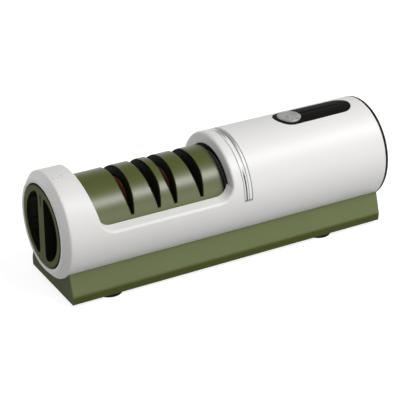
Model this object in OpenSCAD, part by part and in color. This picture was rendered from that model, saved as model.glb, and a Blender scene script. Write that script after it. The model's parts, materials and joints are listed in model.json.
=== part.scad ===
// Electric knife sharpener: a round barrel on a plinth, with a drum of four knife
// slots that turns free at the end knob and slides out with its grinding wheels.
// Inside the modules x runs along the barrel from its knob end, y and z are
// measured from the barrel's axis, and clock angles start at the top and turn
// towards the front. The finished part stands on z = 0, centred on x and y.

/* [Barrel] */
// Length of the motor bay between the bulkhead and the end cap
bay_l = 95.7; // [90:0.1:120]
// Wall between the barrel's outside and the bore of the drum
bore_wall = 6.2; // [5.6:0.1:6.6]
// Width of the conical chamfer at the knob end
rim_step = 4; // [3:0.1:4.6]
// Length of the conical chamfer at the knob end
rim_cone_l = 3.7; // [2:0.1:6]
// Wall of the motor bay
bay_wall = 3; // [2.6:0.1:3.6]
// Thickness of the bulkhead between drum and motor
bulkhead_t = 3; // [2:0.1:4]

/* [Window] */
// Distance of the window from the knob end, along the top
window_x = 17.5; // [16.8:0.1:20]
// Length of the window along the top
window_l = 84.9; // [82:0.1:92]
// Height of the sill's outer edge above the axis
sill_z = 2.85; // [1:0.05:4]
// How much the sill rises from its outer edge to the bore
sill_rise = 1.3; // [0.5:0.1:2]
// Lean of the window's knob-side edge, in degrees
window_lean = 12; // [0:1:14]
// Corner radius on the knob side
corner_near_r = 8; // [4:0.5:10]
// Corner radius on the motor side
corner_far_r = 9; // [4:0.5:10]

/* [Drum] */
// Gap between the bore and the drum, and the knob
drum_gap = 0.4; // [0.35:0.05:0.8]
// Wall of the drum
drum_wall = 3; // [2.6:0.1:3.2]
// Radius of the drum's shoulder at the motor end
shoulder_r = 3; // [1:0.1:3]

/* [Knife slots] */
// Distance of the last slot's tip from the window's far edge
slot_end_gap = 16.7; // [16.5:0.05:18]
// Spacing of the two slots of a pair
slot_pair = 16.15; // [15.5:0.05:16.5]
// Spacing of the two pairs' neighbouring slots
slot_gap = 10.15; // [10:0.05:11]
// Width of a slot at its tip
slot_tip_w = 1.7; // [1.4:0.1:2]
// Height of the tips above the axis
slot_tip_z = 6.1; // [5.6:0.1:8]
// Lean of the wall on the wheel's side, in degrees
slot_lean = 9.5; // [7:0.5:11]
// Run of the opposite wall between the tip and its upright stretch
slot_run = 2.2; // [1.5:0.1:2.6]
// Height above the axis where the opposite wall turns upright
slot_bend_z = 18; // [16:0.5:20]
// Wall of the black lining inside each slot
lining_t = 0.4; // [0.3:0.05:0.5]

/* [Grinding wheels] */
// Depth of a wheel's rim below the drum's outside
wheel_set = 6.4; // [5.8:0.1:7.4]
// How far a wheel's flank stands out of the slot's wall
wheel_proud = 0.3; // [0.1:0.05:0.5]
// Radius of a wheel where its flank ends at the core
wheel_core_r = 7; // [6.5:0.1:8]
// Diameter of the spindle
spindle_d = 6; // [5:0.5:6.5]

/* [Knob] */
// Length of the knob with its skirt
knob_l = 16; // [15:0.1:16.4]
// Depth of the two finger recesses
recess_depth = 9; // [6:0.5:10]
// Width of the knob's rim outside the recesses
recess_rim_w = 3.9; // [3.4:0.1:5.4]
// Width of the grip bar between the recesses
grip_w = 6.9; // [5:0.1:9]
// Radius of the recesses' corners
recess_corner_r = 2.5; // [1:0.1:4]
// Turn between unlocked and locked, in degrees
lock_turn = 45; // [30:1:50]

/* [Plinth] */
// Distance of the plinth from the knob end
plinth_x = 4.6; // [4:0.1:8]
// Distance of the plinth's other end from the end cap's face
plinth_end_gap = 2.3; // [1.5:0.1:4]
// Depth of the plinth's underside below the barrel
plinth_drop = 7.15; // [6.8:0.05:12]
// How far the plinth's top edges lie inside the barrel's sides
plinth_top_set = 7.75; // [7:0.05:9]
// How far its widest lines lie inside the barrel's sides
plinth_wide_set = 3.8; // [2:0.1:4]
// Height of the widest lines above the underside
plinth_wide_rise = 4.55; // [3.6:0.05:6]
// Rounding of the widest line
plinth_round_r = 3; // [1:0.1:4]
// Wall of the plinth
plinth_wall = 2.2; // [1.8:0.1:2.6]
// How far the underside's edges lie inside the barrel's sides
plinth_low_set = 4.1; // [2:0.1:4.1]
// Thickness of the bottom plate
plate_t = 2.2; // [2:0.1:2.6]
// Diameter of a foot
foot_d = 15.2; // [12:0.1:16]
// How far the feet stand out below the plinth
foot_proud = 2.2; // [1:0.1:4]
// Distance of the feet's middles from the underside's edges
foot_set = 7.7; // [7.7:0.1:10]
// Distance of the first pair of feet from the knob end
foot_x = 29.8; // [22:0.1:40]
// Distance of the second pair of feet from the end cap's face
foot_end_gap = 40; // [25:0.1:45]

/* [Light ring] */
// Distance of the light ring from the bulkhead's front face
ring_gap = 3.7; // [3.2:0.1:6]
// Width of the light ring
ring_w = 5.3; // [4:0.1:7]
// Thickness of the light ring
ring_t = 1.7; // [1.2:0.1:1.8]
// Clock angle of the ring's two ends, in degrees
ring_reach = 89.4; // [60:0.1:89.4]

/* [Control panel] */
// Distance of the panel from the end cap's face
panel_end_gap = 9.6; // [8:0.1:12]
// Length of the panel
panel_l = 50; // [46:0.5:52]
// Radius of the panel's end towards the knob
panel_near_r = 8.9; // [8.6:0.1:10]
// Radius of the panel's other end
panel_far_r = 8.4; // [7.6:0.1:8.6]
// Diameter of the power button
button_d = 13.7; // [12:0.1:14]
// How far the button stands above the barrel's top line
button_proud = 0.2; // [0:0.1:0.6]
// Travel of the power button
button_travel = 1.2; // [0.5:0.1:1.2]

/* [Motor and cells] */
// Diameter of the motor can
motor_d = 27.6; // [25:0.1:29]
// Length of the motor can
motor_l = 34; // [30:0.5:38]
// Diameter of the motor shaft
shaft_d = 3.2; // [2.3:0.1:4]
// Diameter of a cell
cell_d = 10.5; // [9.5:0.1:11.5]
// Length of a cell
cell_l = 44; // [40:0.5:46]

/* [Hidden] */
$fn = 96;

// Clearances and overruns
over = 1;
face_gap = 0.1;
side_gap = 0.25;
slide_gap = 0.35;
run_gap = 0.05;
thread_gap = 0.05;
panel_gap = 0.15;
seat_gap = 0.05;

// Barrel, as wide as the motor in its mount and a cell beside it need
motor_r = motor_d / 2;
mount_wall = 1.6;
cell_r = cell_d / 2;
cell_gap = 0.25;
cell_mount_gap = 0.8;
bay_r = motor_r + seat_gap + mount_wall + cell_mount_gap + cell_d + cell_gap;
barrel_r = bay_r + bay_wall;
bore_r = barrel_r - bore_wall;
window_end = window_x + window_l;
bulkhead_set = 2.1;
bulkhead_x = window_end + bulkhead_set;
bay_x = bulkhead_x + bulkhead_t;
shell_l = bay_x + bay_l;
cap_t = 2;
barrel_l = shell_l + cap_t;
plinth_depth = barrel_r + plinth_drop;
axis_h = plinth_depth + foot_proud;
mark_depth = 0.3;
mark_w = 0.45;
mark_x = 5.3;
mark_from = 5.9;
mark_to = 13.7;
dot_x = 9.2;
dot_r = 1.6;

// Bayonet lugs in the barrel and the tracks that they run in
lug_l = 3.5;
lug_w = 4;
lug_x = 6;
lug_h = 1.9;
lug_clock = 120;
lug_tip_r = bore_r - lug_h;
track_r = lug_tip_r - slide_gap;
track_w = lug_w + 2 * slide_gap;
lug_angle = asin(track_w / 2 / track_r);

// Drum, with its walls and the seam of its two halves on the axis
drum_r = bore_r - drum_gap;
drum_in_r = drum_r - drum_wall;
drum_joint_gap = 0.4;
drum_x = knob_l + drum_joint_gap;
drum_set_back = 0.9;
drum_end = window_end - drum_set_back;
end_wall_t = 3;
bush_wall_t = 5;
bush_lead = 10.3;
mid_wall_t = 3.6;
seam_gap = 0.04;

// Slots: 0 and 2 lean towards the wheel on their far side, 1 and 3 on their near side
slot_x = window_end - slot_end_gap - 2 * slot_pair - slot_gap;
slots = [slot_x, slot_x + slot_pair, slot_x + slot_pair + slot_gap,
         slot_x + 2 * slot_pair + slot_gap];
wheel_x = [(slots[0] + slots[1]) / 2, (slots[2] + slots[3]) / 2];
mid_x = (slots[1] + slots[2]) / 2;
near_bush_x = slots[0] - bush_lead - bush_wall_t;
far_bush_x = slots[3] + bush_lead;
guide_x0 = near_bush_x + bush_wall_t + face_gap;
guide_x1 = far_bush_x - face_gap;
lining_set = 0.05;

// Wheels
wheel_r = drum_r - wheel_set;
wheel_gap = 0.8;
core_half = slot_pair / 2 - slot_tip_w / 2 + lining_t + wheel_proud
            - (wheel_core_r - slot_tip_z) * tan(slot_lean);
rim_half = core_half - (wheel_r - wheel_core_r) * tan(slot_lean);

// Spindle line
spindle_r = spindle_d / 2;
bush_t = 2;
bush_r = spindle_r + bush_t;
bush_set = 0.2;
spacer_t = 1.2;
spacer_r = spindle_r + run_gap + spacer_t;
tunnel_r = spacer_r + slide_gap;
hub_t = 1.6;
hub_r = spindle_r + run_gap + hub_t;
hub_half = core_half + face_gap;
clip_t = 0.8;
clip_w = 1.2;
clip_groove = 0.4;
spindle_tail = 1.6;
dog_r = spindle_r - face_gap;
dog_l = 9;
dog_start = 0.8;

// Drive line behind the bulkhead
seal_t = 1.5;
seal_w = 3.2;
socket_r = 6.5;
socket_gap = 1;
socket_set = 0.5;
socket_depth = 6.6;
socket_l = 12;
dog_gap = 0.3;
shaft_r = shaft_d / 2;
motor_set = 14;
motor_x = bay_x + motor_set;
motor_end = motor_x + motor_l;
can_t = 1.2;
boss_out_r = 5;
boss_l = 2.2;
bell_l = 5.5;
bell_boss_l = 2;
motor_screw_r = (motor_r + boss_out_r) / 2;
mount_t = 2.5;
mount_flange_gap = 5;
mount_flange_r = bay_r - mount_flange_gap;
mount_screw_set = 3;
mount_screw_r = mount_flange_r - mount_screw_set;
mount_cup_l = 8;
armature_gap = 2;
armature_r = motor_r - can_t - armature_gap;
armature_set = 5;
armature_slots = 5;
armature_slot_w = 2;
armature_slot_share = 0.42;
armature_slot_depth = armature_slot_share * armature_r;
commutator_r = 4;
commutator_l = 6;
brush_gap = 3;
armature_l = motor_l - armature_set - commutator_l - brush_gap;
tab_w = 2.4;
tab_t = 0.6;
tab_l = 3;
tab_set = 5.8;
tab_y = motor_r - tab_set;

// Cells and their cradle
cell_ring_r = bay_r - cell_r - cell_gap;
cell_side_gap = 2.1;
cell_turn = 2 * asin((cell_d + cell_side_gap) / 2 / cell_ring_r);
cells_x = motor_x;
cradle_t = 2;
cradle_rib_t = 1.2;
cradle_turn = cell_turn + asin((cell_r + cradle_t) / cell_ring_r);
cradle_in_r = motor_r + mount_wall + side_gap + face_gap;
cradle_out_r = bay_r - side_gap;
cell_nub_r = 2;
cell_nub_l = 0.8;

// Knob and its shoulder screw
recess_r = drum_r - recess_rim_w;
knob_hub_r = 6;
knob_floor_t = 2;
knob_floor_x = recess_depth + knob_floor_t;
knob_edge = 0.4;
skirt_t = 2.6;
screw_shoulder_r = 2.5;
screw_thread_r = 2;
screw_head_r = 4.2;
screw_head_h = 1.8;
screw_set = 0.15;
screw_bite = 5;
washer_t = 0.3;
washer_in_r = 2.8;
washer_out_r = 5.4;
arrow_w = 3.2;
arrow_h = 3;
arrow_set = 7;
arrow_z = drum_r - arrow_set;
arrow_depth = 0.4;

// Small pan-head screws
pan_r = 2.4;
pan_h = 1.2;
small_r = 1.3;
drive_r = 0.9;
drive_depth = 0.7;
head_gap = 0.3;
boss_r = 3.4;

// Drum screws
drum_screw_wall = 6.4;
drum_screw_y = drum_in_r - drum_screw_wall;
drum_screw_set = 2.7;
drum_screw_x = [(drum_x + end_wall_t + near_bush_x) / 2, far_bush_x + drum_screw_set];
drum_screw_reach = 7;
drum_screw_head_z = sqrt(pow(drum_r, 2) - pow(drum_screw_y + pan_r, 2)) - pan_h - head_gap;

// Control panel
panel_x = barrel_l - panel_end_gap - panel_l;
panel_near_x = panel_x + panel_near_r;
panel_far_x = panel_x + panel_l - panel_far_r;
panel_t = 1.6;
ledge_w = 1.2;
ledge_r = barrel_r - panel_t;
button_shift = 0.7;
button_x = panel_near_x + button_shift;
button_r = button_d / 2;
button_gap = 0.3;
button_top = barrel_r + button_proud;
button_wall = 1.25;
button_skin = 1.8;
button_edge = 0.4;
button_dish_r = 5.4;
button_dish = 0.2;
button_flange_t = 1;
button_flange_w = 1.15;
button_flange_r = button_r + button_flange_w;
button_rest = 1.1;
stem_r = 1.7;
board_drop = 7.9;
board_z = barrel_r - board_drop;
board_t = 1.6;
board_l = 34;
board_w = 18;
board_lead = 7;
board_x = button_x - board_lead;
post_r = 2.4;
post_l = 3.5;
post_set = 12.2;
posts = [button_x + post_set, board_x + board_l - 2 * post_r];
switch_w = 6;
switch_h = 2.8;
plunger_r = 1.7;
plunger_h = 0.5;
plunger_z = board_z + switch_h + plunger_h;
flange_z = board_z + button_travel + button_rest;
chip_l = 7;
chip_w = 5;
chip_t = 1;

// Light ring and its lamp
ring_x = bulkhead_x + ring_gap;
ring_in_r = barrel_r - ring_t;
ring_end_z = barrel_r * cos(ring_reach);
ring_grooves = 3;
ring_groove_w = 0.5;
ring_groove_depth = 0.35;
lamp_r = 1.5;
lamp_rim_r = 1.9;
lamp_h = 3;
lamp_board_w = 6;
lamp_board_t = 1;

// End cap and charging socket
spigot_l = 5;
spigot_t = 1.8;
cap_edge = 0.6;
cap_screw_set = 5.4;
cap_screw_ring_r = bay_r - cap_screw_set;
cap_screw_sink = 2.1;
cap_screw_l = 12;
cap_boss_l = 10;
port_w = 9;
port_h = 3.2;
port_l = 7.3;
port_wall = 0.35;
port_set = 0.3;
tongue_w = 6.4;
tongue_t = 0.7;
tongue_set = 0.8;
port_board_w = 18;
port_board_l = 13;
port_board_t = 1.2;
bracket_w = 2.8;
bracket_lap = 1.4;

// Plinth
plinth_end = barrel_l - plinth_end_gap;
plinth_top_y = barrel_r - plinth_top_set;
plinth_wide_y = barrel_r - plinth_wide_set;
plinth_low_y = barrel_r - plinth_low_set;
plinth_wide_z = plinth_depth - plinth_wide_rise;
foot_y = plinth_low_y - foot_set;
saddle_gap = 0.1;
saddle_t = 2;
saddle_r = barrel_r + saddle_gap;
column_r = 4.2;
plinth_screw_l = 10.3;
plinth_screws_x = [(plinth_x + window_x) / 2 + over, bulkhead_x + bulkhead_t / 2,
                   barrel_l - spigot_l - cap_boss_l];
plinth_boss_h = 4.5;
foot_r = foot_d / 2;
foot_edge = 0.5;
feet_x = [foot_x, barrel_l - foot_end_gap];

// Moves the barrel's axes into the standing part's
module in_barrel() translate([-barrel_l / 2, 0, axis_h]) children();

// Turns about the barrel's axis to a clock angle
module clock(angle) rotate([angle, 0, 0]) children();

// A rod and a tube along the barrel, from x0 to x1
module rod(x0, x1, r) translate([x0, 0, 0]) rotate([0, 90, 0]) cylinder(h = x1 - x0, r = r);

module tube(x0, x1, r_out, r_in) difference() {
    rod(x0, x1, r_out);
    rod(x0 - over, x1 + over, r_in);
}

// A turned piece whose outline is given as points of radius and x
module turned(points) rotate([0, 90, 0]) rotate_extrude() polygon(points);

// A box between two opposite corners
module block(low, high) translate(low) cube(high - low);

// An outline in y and z, drawn out along x
module along(x0, x1) translate([x0, 0, 0]) rotate([90, 0, 90])
    linear_extrude(height = x1 - x0) children();

// A piece of pie between two clock angles, under 170 degrees
module pie(from, to, r) polygon(concat([[0, 0]],
    [for (i = [0:4]) let (a = from + (to - from) * i / 4) 2 * r * [-sin(a), cos(a)]]));

// Points of the arc of radius r that rounds corner b between a and c
function rounded(a, b, c, r, steps = 16) = let (
    u = (a - b) / norm(a - b), v = (c - b) / norm(c - b), half = acos(u * v) / 2,
    centre = b + (u + v) / norm(u + v) * r / sin(half),
    p = b + u * r / tan(half) - centre, q = b + v * r / tan(half) - centre,
    start = atan2(p.y, p.x), turn = (atan2(q.y, q.x) - start + 540) % 360 - 180)
    [for (i = [0:steps]) let (a = start + turn * i / steps) centre + r * [cos(a), sin(a)]];

// A pan-head screw that points down from its seat at z = 0, with a hexagon drive
module pan_screw(length) difference() {
    union() {
        cylinder(h = pan_h, r = pan_r);
        translate([0, 0, -length]) cylinder(h = length + pan_h / 2, r = small_r);
    }
    translate([0, 0, pan_h - drive_depth]) cylinder(h = drive_depth + over, r = drive_r, $fn = 6);
}

// The hole for such a screw, with room for its head above the seat
module pan_hole(length, sink) {
    translate([0, 0, -length - over / 2]) cylinder(h = length + over, r = small_r + thread_gap);
    cylinder(h = sink, r = pan_r + head_gap);
}

// The window's outline in x and z, with the sill at z = 0
sill_top_z = sill_z + sill_rise;
sill_in_y = sqrt(bore_r * bore_r - sill_top_z * sill_top_z) - side_gap;
sill_out_y = sqrt(barrel_r * barrel_r - sill_z * sill_z);
sill_tilt = atan(sill_rise / (sill_out_y - sill_in_y));
window_top = barrel_r + over - sill_top_z;
window_low_x = window_x + (barrel_r - sill_top_z) * tan(window_lean);
function window_points(end) = let (
    a = [window_x - over * tan(window_lean), window_top], b = [window_low_x, 0],
    c = [end, 0], d = [end, window_top])
    concat([a], rounded(a, b, c, corner_near_r), rounded(b, c, d, corner_far_r), [d]);

// Cuts the window through front and back, with sills that fall away outwards. The sills'
// cuts start inside the bore and end short of the far edge, so that no two faces coincide.
module window_cut() {
    translate([0, 0, sill_top_z]) rotate([90, 0, 0])
        linear_extrude(height = 2 * (barrel_r + over), center = true)
            polygon(window_points(window_end));
    for (side = [0, 1]) mirror([0, side, 0])
        translate([0, -sill_in_y, sill_top_z]) rotate([90 + sill_tilt, 0, 0])
            translate([0, 0, -over]) linear_extrude(height = bore_r)
                polygon(window_points(window_end - face_gap));
}

// Points of an arc about a centre, between two angles
function arc(centre, r, from, to, steps = 24) =
    [for (i = [0:steps]) let (a = from + (to - from) * i / steps)
        centre + r * [cos(a), sin(a)]];

// The panel's outline seen from above: two round ends and the tapered stretch between
module panel_plan(grow) {
    near = panel_near_r + grow;
    far = panel_far_r + grow;
    lean = asin((near - far) / (panel_far_x - panel_near_x));
    polygon(concat(arc([panel_near_x, 0], near, 90 - lean, 270 + lean),
                   arc([panel_far_x, 0], far, lean - 90, 90 - lean)));
}

module panel_block(grow) translate([0, 0, bay_r / 2])
    linear_extrude(height = barrel_r) panel_plan(grow);

// Straight tracks for the two bayonet lugs
module tracks(x0, x1) for (side = [-1, 1]) clock(side * lug_clock)
    block([x0, -track_w / 2, track_r - face_gap], [x1, track_w / 2, drum_r + over]);

module barrel_shell() color("whitesmoke") in_barrel() {
    difference() {
        union() {
            turned([[bore_r, 0], [barrel_r - rim_step, 0], [barrel_r, rim_cone_l],
                    [barrel_r, shell_l], [bay_r, shell_l], [bay_r, bay_x], [socket_r + socket_gap, bay_x],
                    [socket_r + socket_gap, bulkhead_x], [bore_r, bulkhead_x]]);
            for (side = [-1, 1]) clock(side * lug_clock)
                block([lug_x, -lug_w / 2, lug_tip_r], [lug_x + lug_l, lug_w / 2, bore_r + over]);
            for (i = [0:2]) clock(120 * i) barrel_boss();
            intersection() {
                rod(0, shell_l, bay_r + over);
                translate([plinth_screws_x[2], 0, -bay_r - over])
                    cylinder(h = plinth_boss_h + over, r = boss_r);
            }
        }
        window_cut();
        intersection() {
            tube(ring_x - seat_gap, ring_x + ring_w + seat_gap, barrel_r + over,
                 ring_in_r - seat_gap);
            block([ring_x - over, -2 * barrel_r, ring_end_z - seat_gap],
                  [ring_x + ring_w + over, 2 * barrel_r, 2 * barrel_r]);
        }
        translate([ring_x + ring_w / 2, 0, bay_r / 2])
            cylinder(h = barrel_r / 2, r = lamp_r + seat_gap);
        difference() {
            panel_block(panel_gap);
            rod(0, barrel_l, ledge_r);
        }
        panel_block(-ledge_w);
        for (x = plinth_screws_x) translate([x, 0, -barrel_r - over])
            cylinder(h = plinth_screw_l - plinth_depth + plate_t + saddle_r,
                     r = small_r + thread_gap);
        for (i = [0:2]) clock(120 * i) translate([shell_l, 0, cap_screw_ring_r])
            rotate([0, -90, 0]) cylinder(h = cap_screw_l + over, r = small_r + thread_gap);
        for (i = [0:2]) clock(60 + 120 * i) translate([bulkhead_x - over, 0, mount_screw_r])
            rotate([0, 90, 0]) cylinder(h = bulkhead_t + 2 * over, r = small_r + thread_gap);
        intersection() {
            tube(mark_x, mark_x + mark_w, barrel_r + over, barrel_r - mark_depth);
            along(0, window_x) pie(mark_from, mark_to, barrel_r);
        }
        clock((mark_from + mark_to) / 2) translate([dot_x, 0, barrel_r - mark_depth])
            difference() {
                cylinder(h = over, r = dot_r);
                translate([0, 0, -over]) cylinder(h = 3 * over, r = dot_r - mark_w);
            }
    }
}

// A screw boss on the bay's wall, behind the end cap
module barrel_boss() intersection() {
    rod(0, shell_l, bay_r + over);
    union() {
        translate([shell_l - spigot_l - seat_gap, 0, cap_screw_ring_r]) rotate([0, -90, 0])
            cylinder(h = cap_boss_l, r = boss_r);
        block([shell_l - spigot_l - seat_gap - cap_boss_l, -boss_r / 2, cap_screw_ring_r],
              [shell_l - spigot_l - seat_gap, boss_r / 2, barrel_r]);
    }
}

module port_plan(grow) {
    r = port_h / 2 + grow;
    for (side = [-1, 1]) translate([side * (port_w - port_h) / 2, 0]) circle(r = r);
    square([port_w - port_h, 2 * r], center = true);
}

module end_cap() color("dimgray") in_barrel() difference() {
    union() {
        turned([[0, shell_l], [bay_r - seat_gap - spigot_t, shell_l],
                [bay_r - seat_gap - spigot_t, shell_l - spigot_l],
                [bay_r - seat_gap, shell_l - spigot_l], [bay_r - seat_gap, shell_l],
                [barrel_r, shell_l], [barrel_r, barrel_l - cap_edge],
                [barrel_r - cap_edge, barrel_l], [0, barrel_l]]);
        for (i = [0:2]) clock(120 * i) intersection() {
            rod(shell_l - spigot_l, barrel_l, bay_r - seat_gap);
            translate([shell_l - spigot_l, 0, cap_screw_ring_r]) rotate([0, 90, 0])
                cylinder(h = spigot_l + cap_t / 2, r = boss_r + head_gap);
        }
        for (side = [0, 1]) mirror([0, side, 0]) block(
            [shell_l - port_board_l, port_board_w / 2 - bracket_lap,
             -port_h / 2 - port_board_t - bracket_lap],
            [shell_l + cap_t / 2, port_board_w / 2 + bracket_w - bracket_lap,
             -port_h / 2 + bracket_lap]);
    }
    for (i = [0:2]) clock(120 * i) translate([barrel_l - cap_screw_sink, 0, cap_screw_ring_r])
        rotate([0, 90, 0]) pan_hole(cap_screw_l, cap_screw_sink + over);
    along(shell_l - over, barrel_l + over) port_plan(side_gap);
    block([0, -port_board_w / 2 - seat_gap, -port_h / 2 - port_board_t - seat_gap],
          [shell_l, port_board_w / 2 + seat_gap, -port_h / 2 + seat_gap]);
}

module end_cap_screws() color("silver") in_barrel() for (i = [0:2]) clock(120 * i)
    translate([barrel_l - cap_screw_sink, 0, cap_screw_ring_r]) rotate([0, 90, 0])
        pan_screw(cap_screw_l);

module mouth_seal() color("black") in_barrel()
    tube(bulkhead_x - seal_t, bulkhead_x, bore_r - seat_gap, bore_r - seal_w);

module light_ring() color("lightgray") in_barrel() intersection() {
    difference() {
        tube(ring_x, ring_x + ring_w, barrel_r, ring_in_r);
        for (i = [1:ring_grooves]) let (x = ring_x + ring_w * i / (ring_grooves + 1))
            tube(x - ring_groove_w / 2, x + ring_groove_w / 2, barrel_r + over,
                 barrel_r - ring_groove_depth);
    }
    block([ring_x - over, -2 * barrel_r, ring_end_z],
          [ring_x + ring_w + over, 2 * barrel_r, 2 * barrel_r]);
}

// The ring's lamp stands on a small board, its dome in the hole under the ring
module ring_led() color("lightyellow") in_barrel()
    translate([ring_x + ring_w / 2, 0, ring_in_r - seat_gap - lamp_r - lamp_h]) {
        translate([0, 0, lamp_h]) sphere(r = lamp_r);
        cylinder(h = lamp_h, r = lamp_r);
        cylinder(h = lamp_h - panel_t, r = lamp_rim_r);
        translate([0, 0, -lamp_board_t / 2])
            cube([lamp_board_w, lamp_board_w, lamp_board_t], center = true);
    }

// Plinth
plinth_top_z = -sqrt(saddle_r * saddle_r - plinth_top_y * plinth_top_y);
plinth_side = concat([[plinth_top_y, plinth_top_z]],
    rounded([plinth_top_y, plinth_top_z], [plinth_wide_y, -plinth_wide_z],
            [plinth_low_y, -plinth_depth], plinth_round_r),
    [[plinth_low_y, -plinth_depth]]);

module plinth() color("darkolivegreen") in_barrel() difference() {
    along(plinth_x, plinth_end) polygon(concat(plinth_side,
        [for (i = [len(plinth_side) - 1:-1:0]) [-plinth_side[i].x, plinth_side[i].y]]));
    rod(0, barrel_l, saddle_r);
    difference() {
        along(plinth_x + plinth_wall, plinth_end - plinth_wall) plinth_void();
        rod(0, barrel_l, saddle_r + saddle_t);
        for (x = plinth_screws_x) translate([x, 0, -plinth_depth + plate_t])
            cylinder(h = plinth_depth, r = column_r);
    }
    for (x = plinth_screws_x) translate([x, 0, -plinth_depth])
        cylinder(h = plinth_depth, r = small_r + thread_gap);
}

module plinth_void() polygon([for (end = [
        [plinth_top_y, plinth_top_z, 1], [plinth_wide_y, -plinth_wide_z, 1],
        [plinth_low_y, -plinth_depth - over, 1], [plinth_low_y, -plinth_depth - over, -1],
        [plinth_wide_y, -plinth_wide_z, -1], [plinth_top_y, plinth_top_z, -1]])
    [end[2] * (end[0] - plinth_wall), end[1]]]);

module bottom_plate() color("black") in_barrel() difference() {
    block([plinth_x + plinth_wall + side_gap, -plinth_low_y + plinth_wall + side_gap,
           -plinth_depth],
          [plinth_end - plinth_wall - side_gap, plinth_low_y - plinth_wall - side_gap,
           -plinth_depth + plate_t]);
    for (x = plinth_screws_x) translate([x, 0, -plinth_depth]) {
        translate([0, 0, -over]) cylinder(h = pan_h + face_gap + over, r = pan_r + head_gap);
        cylinder(h = plate_t + over, r = small_r + thread_gap);
    }
}

module plinth_screws() color("silver") in_barrel() for (x = plinth_screws_x)
    translate([x, 0, -plinth_depth + pan_h + face_gap]) rotate([180, 0, 0])
        pan_screw(plinth_screw_l);

module feet() color("black") in_barrel() for (x = feet_x, side = [-1, 1])
    translate([x, side * foot_y, -plinth_depth]) rotate([180, 0, 0]) rotate_extrude()
        polygon([[0, 0], [foot_r, 0], [foot_r, foot_proud - foot_edge],
                 [foot_r - foot_edge, foot_proud], [0, foot_proud]]);

module control_panel() color("#242321") in_barrel() difference() {
    union() {
        intersection() {
            panel_block(0);
            tube(panel_x - over, barrel_l, barrel_r, ledge_r + seat_gap);
        }
        intersection() {
            panel_block(-ledge_w - panel_gap);
            tube(panel_x - over, barrel_l, ledge_r + face_gap, bay_r);
        }
        for (x = posts) translate([x, 0, board_z])
            cylinder(h = ledge_r - board_z, r = post_r);
    }
    translate([button_x, 0, 0]) cylinder(h = 2 * barrel_r, r = button_r + button_gap);
    for (x = posts) translate([x, 0, 0])
        cylinder(h = ledge_r - post_r / 2, r = small_r + thread_gap);
}

module power_button() color("silver") in_barrel() translate([button_x, 0, 0]) {
    rotate_extrude() polygon([
        [0, button_top - button_dish], [button_dish_r - button_dish, button_top - button_dish],
        [button_dish_r, button_top], [button_r - button_edge, button_top],
        [button_r, button_top - button_edge], [button_r, flange_z + button_flange_t],
        [button_flange_r, flange_z + button_flange_t], [button_flange_r, flange_z],
        [button_r - button_wall, flange_z],
        [button_r - button_wall, button_top - button_skin], [0, button_top - button_skin]]);
    translate([0, 0, plunger_z + button_travel + face_gap])
        cylinder(h = button_top - button_dish - button_skin / 2 - plunger_z - button_travel,
                 r = stem_r);
}

module control_board() color("darkgreen") in_barrel() difference() {
    union() {
        block([board_x, -board_w / 2, board_z - board_t],
              [board_x + board_l, board_w / 2, board_z]);
        for (side = [-1, 1])
            block([button_x + switch_w, side * chip_w - chip_w / 2, board_z - board_t / 2],
                  [button_x + switch_w + chip_l, side * chip_w + chip_w / 2,
                   board_z + chip_t]);
    }
    for (x = posts) translate([x, 0, 0]) cylinder(h = barrel_r, r = small_r + thread_gap);
}

module board_screws() color("silver") in_barrel() for (x = posts)
    translate([x, 0, board_z - board_t]) rotate([180, 0, 0]) pan_screw(board_t + post_l);

module tact_switch() color("gray") in_barrel() translate([button_x, 0, board_z]) {
    translate([-switch_w / 2, -switch_w / 2, 0]) cube([switch_w, switch_w, switch_h]);
    cylinder(h = switch_h + plunger_h, r = plunger_r);
}

// The charging socket: a metal shell with a tongue inside
module charge_socket() color("silver") in_barrel() {
    x1 = barrel_l - port_set;
    difference() {
        along(x1 - port_l, x1) port_plan(0);
        along(x1 - port_l + 2 * port_wall, x1 + over) port_plan(-port_wall);
    }
    block([x1 - port_l + port_wall, -tongue_w / 2, -tongue_t / 2],
          [x1 - tongue_set, tongue_w / 2, tongue_t / 2]);
}

module charge_board() color("darkgreen") in_barrel() {
    block([shell_l - port_board_l, -port_board_w / 2, -port_h / 2 - port_board_t],
          [shell_l - seat_gap, port_board_w / 2, -port_h / 2]);
    block([shell_l - port_board_l + chip_t, -chip_w / 2, -port_h / 2 - port_board_t - chip_t],
          [shell_l - port_board_l + chip_t + chip_l, chip_w / 2, -port_h / 2 - port_board_t]);
}

// Cells lie side by side along the bottom of the bay
module battery_cells() color("steelblue") in_barrel() for (i = [-1:1])
    clock(180 + i * cell_turn) translate([0, 0, cell_ring_r]) {
        rod(cells_x, cells_x + cell_l - cell_nub_l, cell_r);
        rod(cells_x, cells_x + cell_l, cell_nub_r);
    }

module battery_cradle() color("#242321") in_barrel() {
    for (x = [cells_x - face_gap - cradle_t, cells_x + cell_l + face_gap]) intersection() {
        tube(x, x + cradle_t, cradle_out_r, cradle_in_r);
        along(x - over, x + cradle_t + over)
            pie(180 - cradle_turn, 180 + cradle_turn, barrel_r);
    }
    for (side = [-1, 1]) clock(180 + side * cell_turn / 2)
        block([cells_x - face_gap - cradle_t / 2, -cradle_rib_t / 2, cradle_in_r],
              [cells_x + cell_l + face_gap + cradle_t / 2, cradle_rib_t / 2,
               cradle_out_r - face_gap]);
}

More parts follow.
